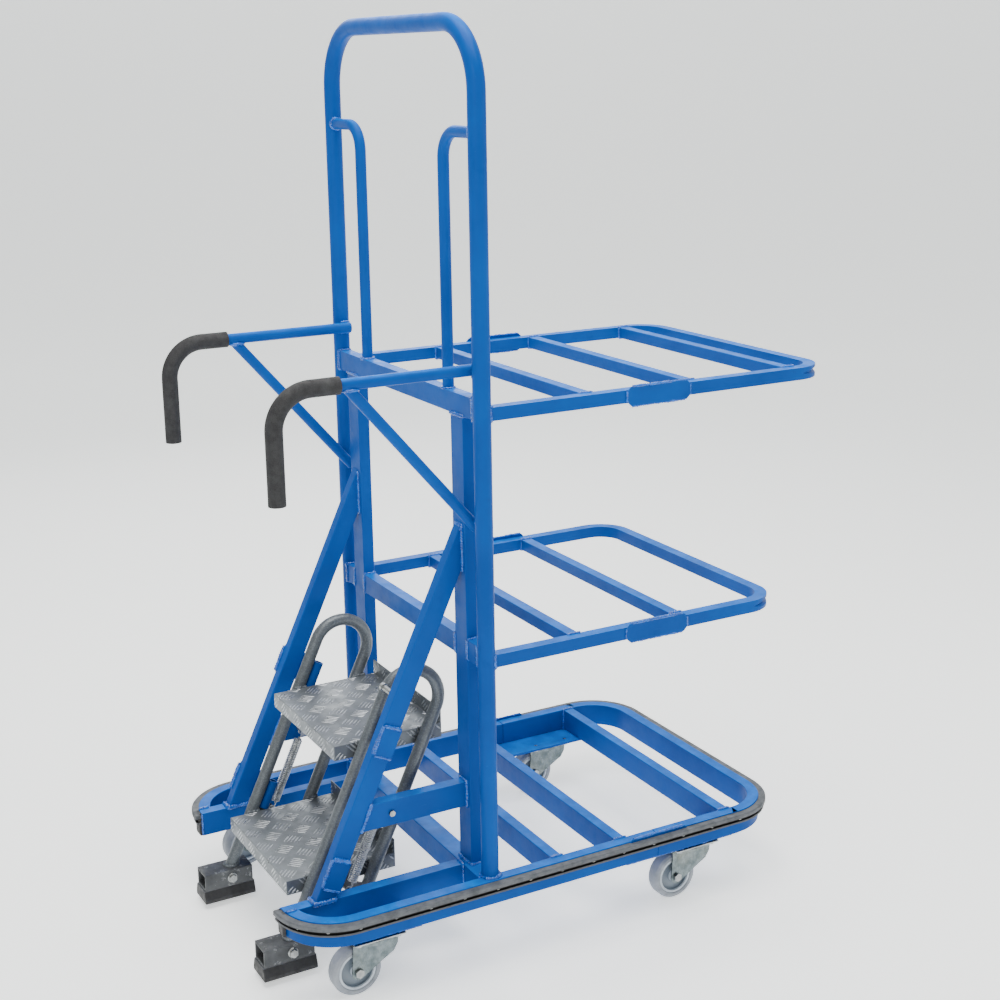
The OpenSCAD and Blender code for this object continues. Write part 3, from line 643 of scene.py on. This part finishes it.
def guide_beads(b):
    """Stringers and their braces at both ends, and the guide brackets on the stringers."""
    low, high = STRINGER_BRACE_Z
    ends = (
        ((-UPRIGHT_HALF, 868.0), (-UPRIGHT_HALF, 780.0), 2.8),
        ((-341.0, DECK_Z), (-300.0, DECK_Z), 3.2),
        ((-240.0, low), (-217.5, high), 2.6),
        ((-13.0, low), (-13.0, high), 2.6),
    )
    for first, second, radius in ends:
        b.both(across(INNER_RAIL, first, second), radius, True)
    face = INNER_RAIL[1] + 1.5
    for u in BRACKET_U:
        b.both([on_incline(face, w, u + BRACKET_L) for w in range(-22, 17, 4)], 3.0)
        b.both([on_incline(face, -24.0, u + BRACKET_L - 2.0 - 6.0 * i) for i in range(10)], 2.8)
        b.both([on_incline(face + 0.5, w, u) for w in range(-20, 17, 6)], 1.9)
        b.both([on_incline(181.0, 17.5, v) for v in (u + 4.0, u + BRACKET_L - 4.0)], 2.0)


def castor_plate_beads(b):
    """Castor plates under the side rails."""
    for ys in ((-286.0, -160.0), (308.0, 568.0)):
        b.both([at(SIDE_OUT - 5.5, y, RAIL_LOW - 1.0) for y in ys], 1.8)


def frame_beads():
    """Every weld of the fixed frame; random draws follow the order of these calls."""
    b = Beads()
    mast_beads(b)
    hoop_beads(b)
    base_beads(b)
    joint_plate_beads(b)
    handle_beads(b)
    guide_beads(b)
    castor_plate_beads(b)
    return new_piece("frame_weld_beads", b.verts, b.faces, WELD, "chassis")


def step_beads():
    """Welds of the treads and the foot boxes on the hairpins, and of the spring lugs."""
    b = Beads()
    sin_t, cos_t = math.sin(TILT), math.cos(TILT)

    def leg_y(w, z):
        u = (z + w * sin_t) / cos_t
        return FOOT_Y + u * sin_t + w * cos_t

    for tread in (UPPER_TREAD, LOWER_TREAD):
        top, under = tread["top"], tread["top"] - TREAD_FOLD
        for w in (0.0, HAIRPIN_W):
            y = leg_y(w, top)
            b.both([at(TREAD_HALF + 1.5, y - 13.0 + 2.6 * i, top + 0.5) for i in range(11)], 2.2)
            y = leg_y(w, under)
            b.both([at(TREAD_HALF + 1.0, y + d, under) for d in (-8.0, 8.0)], 2.0)
    foot = at(HAIRPIN_X, leg_y(0.0, FOOT_BOX_TOP), FOOT_BOX_TOP + 0.5)
    b.both(ring(foot, X, Y, 13.0, 14.2), 2.6, True)
    for w in (HAIRPIN_R, HAIRPIN_W - HAIRPIN_R):
        b.both([on_incline(HAIRPIN_X + 2.0, w, u) for u in (199.0, 220.0)], 2.0)
    return new_piece("step_weld_beads", b.verts, b.faces, HAMMER, "step_unit")


def bar(centre, along, across, up, length, width=3.6, height=0.9):
    """One lens-shaped bar of chequer plate."""
    count = 10
    verts = []
    for scale_l, scale_w, lift in ((1.0, 1.0, -0.2), (0.93, 0.66, 0.72), (0.80, 0.28, 1.0)):
        for k in range(count):
            t = 2.0 * math.pi * k / count
            c, s = math.cos(t), math.sin(t)
            a = math.copysign(abs(c) ** 0.8, c) * length / 2.0 * scale_l
            w = math.copysign(abs(s) ** 1.2, s) * width / 2.0 * scale_w
            verts.append(centre + (a * along + w * across + lift * height * up) / 1000.0)
    faces = []
    for r in range(2):
        for k in range(count):
            k2 = (k + 1) % count
            faces.append((r * count + k, r * count + k2, (r + 1) * count + k2, (r + 1) * count + k))
    faces.append(tuple(2 * count + k for k in range(count)))
    return verts, faces


def clipped(centre, direction, length, low, high):
    """Part of a bar's centre line that lies in a rectangle, as (start, end) along it."""
    t0, t1 = -length / 2.0, length / 2.0
    for c, d, a, b in zip(centre, direction, low, high):
        first, second = sorted(((a - c) / d, (b - c) / d))
        t0, t1 = max(t0, first), min(t1, second)
    return t0, t1


def chequer(name, top, front):
    """Bars in groups of five at 45 degrees, carried round the tread's folded edges."""
    half, fold = TREAD_HALF, TREAD_FOLD
    step, offset, pitch, length, gap, shortest = 32.0, 14.0, 7.1, 29.0, 1.2, 5.0
    rear = front + TREAD_DEPTH
    bend = rear - TREAD_T
    # each face: its low and high corner in the unfolded plate, its place, its axes and its outside
    plate_faces = (
        ((-half, front), (half, bend), lambda x, y: at(x, y, top), X, Y, Z),
        ((-half, front - fold), (half, front), lambda x, y: at(x, front, top + y - front), X, Z, -Y),
        ((-half, bend), (half, bend + fold), lambda x, y: at(x, bend, top + y - bend), X, Z, -Y),
        ((half, front), (half + fold, rear), lambda x, y: at(half, y, top - (x - half)), -Z, Y, X),
        ((-half - fold, front), (-half, rear), lambda x, y: at(-half, y, top + (x + half)), Z, Y, -X),
    )
    verts, faces = [], []
    diagonals = ((math.sqrt(0.5), math.sqrt(0.5)), (-math.sqrt(0.5), math.sqrt(0.5)))
    groups = [(i, j) for i in range(-6, 7) for j in range(-2, 10) if (i + j) % 2 == 0]
    for i, j in groups:
        d, e = diagonals if j % 2 else diagonals[::-1]
        for k in range(-2, 3):
            c = (step * i + k * pitch * e[0], front + offset + step * j + k * pitch * e[1])
            for low, high, place, ex, ey, outside in plate_faces:
                inner_low = (low[0] + gap, low[1] + gap)
                inner_high = (high[0] - gap, high[1] - gap)
                t0, t1 = clipped(c, d, length, inner_low, inner_high)
                if t1 - t0 < shortest:
                    continue
                m = (t0 + t1) / 2.0
                along = (ex * d[0] + ey * d[1]).normalized()
                middle = place(c[0] + d[0] * m, c[1] + d[1] * m)
                v, f = bar(middle, along, along.cross(outside), outside, t1 - t0)
                start = len(verts)
                verts.extend(v)
                faces.extend(tuple(start + n for n in q) for q in f)
    return new_piece(name, verts, faces, BARS, "step_unit")


def bumper_ends():
    """Rubber pads that close the strip in front of the inner rails."""
    # depth in front of the rail's end, and height
    outline = [(6.5, 172.0), (7.5, 166.0), (6.8, 150.0), (7.2, 134.0), (5.8, 126.5),
               (0.2, 125.5), (0.2, 173.0), (4.5, 173.0)]
    xs = (225.5, 228.0, 238.0, 247.5, 249.5)
    thickness, rounding = 7.5, 1.2
    count = len(outline)
    verts, faces = [], []
    for side in (-1, 1):
        start = len(verts)
        for x in xs:
            limit = thickness - rounding if x in (xs[0], xs[-1]) else thickness
            verts += [at(side * x, BASE_FRONT - min(d, limit), z) for d, z in outline]
        for k in range(len(xs) - 1):
            for i in range(count):
                a, b = start + k * count + i, start + k * count + (i + 1) % count
                faces.append((a, b, b + count, a + count))
        faces.append(tuple(start + i for i in range(count)))
        faces.append(tuple(start + (len(xs) - 1) * count + i for i in range(count)))
    return new_piece("bumper_ends", verts, faces, RUBBER, "chassis", smooth=False)


def spring(name, side):
    """Close-wound coil with a hook at each end; its lower end hooks on the step unit, but the coil rides
    on no body.
    """
    x, w = SPRING_X * side, SPRING_W
    low, high = 222.0, 368.0
    pitch, coil_r, wire_r, eye_r, per_turn = 4.0, 8.4, 1.6, 6.2, 20
    shank_w = w + 4.0
    points = []

    def eye(u, up):
        angles = [math.radians(100.0 - 16.0 * i) for i in range(19)]
        return [on_incline(x, w + eye_r * math.cos(t), u - up * eye_r * math.sin(t)) for t in angles]

    points += eye(SPRING_EYES[0], 1.0)[::-1]
    points.append(on_incline(x, shank_w, low - 5.0))
    steps = int((high - low) / pitch * per_turn)
    for i in range(steps + 1):
        t = 2.0 * math.pi * i / per_turn
        grow = min(1.0, 0.35 + i / per_turn, 0.35 + (steps - i) / per_turn)
        r = coil_r * grow
        u = low + (high - low) * i / steps
        points.append(on_incline(x + r * math.cos(t), w + r * math.sin(t), u))
    points.append(on_incline(x, shank_w, high + 5.0))
    points += eye(SPRING_EYES[1], -1.0)
    verts, faces = sweep(points, [wire_r / 1000.0] * len(points), 7)
    piece = new_piece(name, verts, faces, SPRING_STEEL, None)
    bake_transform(piece)
    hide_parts("return_springs")
    return piece


def screw_rims():
    """Raised rims on the bumper screws: along the sides and the rear, and two on each bend."""
    side_spaces, rear_spaces, head_out, rim_r, wire_r = 12, 6, 8.0, 2.4, 0.7
    corner_x = SIDE_OUT - BASE_BEND_R
    front, rear = BASE_FRONT + BASE_BEND_R, BASE_REAR - BASE_BEND_R
    places = []
    for i in range(side_spaces + 1):
        y = front + (rear - front) / side_spaces * i
        for s in (-1, 1):
            places.append((at(SIDE_OUT * s, y, SCREW_Z), X * s))
    for i in range(rear_spaces + 1):
        x = -corner_x + 2.0 * corner_x / rear_spaces * i
        places.append((at(x, BASE_REAR, SCREW_Z), Y))
    for angle in (30, 60):
        c, d = math.cos(math.radians(angle)), math.sin(math.radians(angle))
        for s in (-1, 1):
            for y, turn in ((rear, 1), (front, -1)):
                x = s * (corner_x + BASE_BEND_R * c)
                places.append((at(x, y + turn * BASE_BEND_R * d, SCREW_Z), Vector((s * c, turn * d, 0))))
    verts, faces = [], []
    for place, out in places:
        side = out.cross(Z).normalized()
        points = ring(place + out * head_out / 1000.0, side, Z, rim_r, count=16)
        v, f = sweep(points, [wire_r / 1000.0] * len(points), 6, True)
        start = len(verts)
        verts += v
        faces += [tuple(start + i for i in q) for q in f]
    return new_piece("screw_rims", verts, faces, ZINC, "chassis")


# ---------------------------------------------------------------- carried-over nodes
def on_castors(*kinds):
    """Names of these pieces on all four castors."""
    corners = ("front_near", "front_far", "rear_near", "rear_far")
    return [f"{kind}_{corner}" for kind in kinds for corner in corners]


def paint(obj, material):
    """Leaves an object with this material only."""
    obj.data.materials.clear()
    obj.data.materials.append(material)


def round_edges(obj, width):
    """Welds the CAD mesh, bevels its sharp edges (width in millimetres) and shades it smooth."""
    weld = obj.modifiers.new("weld", "WELD")
    weld.merge_threshold = 0.00002
    bevel = obj.modifiers.new("bevel", "BEVEL")
    bevel.width = width / 1000.0
    bevel.segments = 3
    bevel.limit_method = "ANGLE"
    bevel.angle_limit = math.radians(38.0)
    bevel.use_clamp_overlap = True
    bevel.harden_normals = False
    shade = obj.modifiers.new("shade", "WEIGHTED_NORMAL")
    shade.keep_sharp = True
    shade.weight = 90


for part in frame["record"]["subparts"]:
    paint(nodes[part["node"]], BY_SLOT[part["material_slot"]])
for name in ("upper_tread", "lower_tread"):
    paint(nodes[name], TREAD)
for name in on_castors("fork"):
    paint(nodes[name], FORK_ZINC)
paint(nodes["bumper_strip"], BUMPER)

ROUNDED = {
    2.2: ["grip_near", "grip_far"],
    2.0: ["base_side_rail_near", "base_side_rail_far", "base_rear_rail", "base_inner_rails",
          "base_cross_member", "deck_bars", "back_uprights", "upper_crossbar", "middle_crossbar",
          "stringers", "foot_pads"],
    1.8: ["upper_load_hoop", "upper_hoop_bars", "middle_load_hoop", "middle_hoop_bars"],
    1.6: on_castors("tyre"),
    1.5: ["foot_boxes"],
    1.2: ["bumper_strip", "upper_tread", "lower_tread"],
    0.9: ["guide_brackets"],
    0.8: ["castor_mount_plates", "foot_bolts", "spring_bolts", "spring_lugs",
          *on_castors("fork", "axle", "hub")],
    0.7: ["joint_plates", "castor_top_plates"],
    0.6: ["castor_screws", "castor_kingpins", "guide_pin", "bumper_screws"],
}
for width, names in ROUNDED.items():
    for name in names:
        round_edges(nodes[name], width)

# ---------------------------------------------------------------- added pieces
frame_beads()
step_beads()
chequer("upper_chequer_bars", **UPPER_TREAD)
chequer("lower_chequer_bars", **LOWER_TREAD)
spring("return_spring_near", 1.0)
spring("return_spring_far", -1.0)
screw_rims()
bumper_ends()


# ---------------------------------------------------------------- floor, light and camera
def backdrop():
    """Pale floor along the camera's view, in metres, that curves up into a wall behind the object."""
    near, far, width, bend_r, wall_top = -14.0, 6.0, 14.0, 3.0, 12.0
    view_dir = Vector((-0.876, 0.482, 0.0))
    side_dir = Vector((0.482, 0.876, 0.0))
    angles = [math.radians(a) for a in range(10, 91, 10)]
    profile = [(near, 0.0), (far, 0.0)]
    profile += [(far + bend_r * math.sin(a), bend_r - bend_r * math.cos(a)) for a in angles]
    profile.append((far + bend_r, wall_top))
    verts = []
    for d, z in profile:
        for s in (-width, width):
            verts.append(tuple(view_dir * d + side_dir * s + Z * z))
    faces = [(2 * i, 2 * i + 1, 2 * i + 3, 2 * i + 2) for i in range(len(profile) - 1)]
    mesh = bpy.data.meshes.new("floor")
    mesh.from_pydata(verts, [], faces)
    mesh.shade_smooth()
    floor = bpy.data.objects.new("floor", mesh)
    bpy.context.scene.collection.objects.link(floor)
    pale = Surface("pale_floor")
    pale.colour(pale.mix(pale.noise(1.2, 5.0), (0.93, 0.945, 0.94), (0.96, 0.97, 0.965)))
    pale.shader.inputs["Emission Color"].default_value = (0.97, 1.0, 0.99, 1.0)
    pale.shader.inputs["Emission Strength"].default_value = 0.8
    pale.rough(pale.ramp(pale.noise(9.0, 4.0), 0.3, 0.7, 0.55, 0.7))
    mesh.materials.append(pale.mat)


def studio_world():
    """Weak cool light from all sides."""
    world = bpy.data.worlds.new("studio")
    world.use_nodes = True
    sky = world.node_tree.nodes["Background"]
    sky.inputs["Color"].default_value = (0.95, 0.98, 1.0, 1.0)
    sky.inputs["Strength"].default_value = 0.25
    bpy.context.scene.world = world


def lamp(name, place, target, size, power, tint=(1.0, 1.0, 1.0)):
    """Area light that faces its target; metres and watts."""
    data = bpy.data.lights.new(name, "AREA")
    data.shape = "RECTANGLE"
    data.size, data.size_y = size
    data.energy = power
    data.color = tint
    obj = bpy.data.objects.new(name, data)
    obj.location = place
    obj.rotation_euler = (Vector(target) - Vector(place)).to_track_quat("-Z", "Y").to_euler()
    bpy.context.scene.collection.objects.link(obj)


def view_camera():
    """Camera at head height, ahead of the step unit on the near side; it looks down a little."""
    azimuth, drop, roll = math.radians(-61.17), math.radians(13.81), math.radians(-0.85)
    forward = Vector((
        math.sin(azimuth) * math.cos(drop),
        math.cos(azimuth) * math.cos(drop),
        -math.sin(drop),
    ))
    right = Vector((math.cos(azimuth), -math.sin(azimuth), 0.0))
    up = right.cross(forward)
    right, up = (
        math.cos(roll) * right + math.sin(roll) * up,
        math.cos(roll) * up - math.sin(roll) * right,
    )
    data = bpy.data.cameras.new("camera")
    data.lens = 58.1
    data.sensor_width = 36.0
    data.shift_x = -0.0025
    data.shift_y = -0.042
    data.clip_end = 100.0
    camera = bpy.data.objects.new("camera", data)
    axes = Matrix((right, up, -forward)).transposed().to_4x4()
    camera.matrix_world = Matrix.Translation(at(2837.0, -1347.0, 1713.0)) @ axes
    bpy.context.scene.collection.objects.link(camera)
    bpy.context.scene.camera = camera


backdrop()
studio_world()
lamp("overhead", (0.4, -0.2, 4.2), (0.0, 0.0, 0.6), (3.6, 3.0), 260.0, (1.0, 0.99, 0.97))
lamp("key", (3.2, -3.4, 2.9), (0.0, 0.0, 0.7), (2.2, 2.4), 75.0, (1.0, 0.98, 0.95))
lamp("fill", (2.6, 3.6, 1.9), (0.0, 0.0, 0.8), (2.4, 2.4), 34.0, (0.93, 0.97, 1.0))
lamp("back", (-3.4, 0.8, 2.6), (0.0, 0.0, 0.9), (2.2, 2.2), 40.0)
view_camera()
